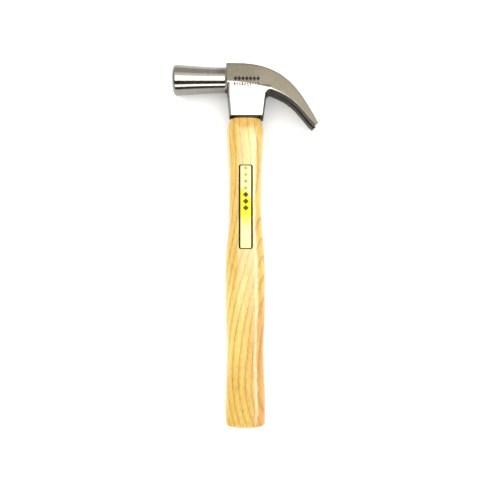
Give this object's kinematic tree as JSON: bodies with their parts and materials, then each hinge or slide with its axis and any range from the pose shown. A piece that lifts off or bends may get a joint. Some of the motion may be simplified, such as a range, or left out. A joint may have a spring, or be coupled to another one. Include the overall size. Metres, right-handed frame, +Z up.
{
  "type": "claw_hammer",
  "caption": "Curved-claw nail hammer, 20 oz class: forged steel head with turned poll and V-slotted claws, wedged onto an oval lacquered wooden handle with a printed label.",
  "frame": {"origin": "centre of the bounding box, on the surface that the hammer lies on", "axes": "+X from the striking face to the claw tips; +Y along the handle from the butt to the head; +Z up through the cheeks of the head, as the hammer lies on its side"},
  "size_m": [0.134, 0.3364, 0.0284],
  "materials": {
    "head_steel": "satin",
    "handle_ash": "gloss",
    "wedge_wood": "matte",
    "wedge_steel": "satin",
    "label_print": "gloss"
  },
  "bodies": {
    "root": {"hammer_head": "head_steel", "handle": "handle_ash", "wood_wedge": "wedge_wood", "steel_wedge_poll_side": "wedge_steel", "steel_wedge_claw_side": "wedge_steel", "handle_label": "label_print"}
  },
  "joints": []
}
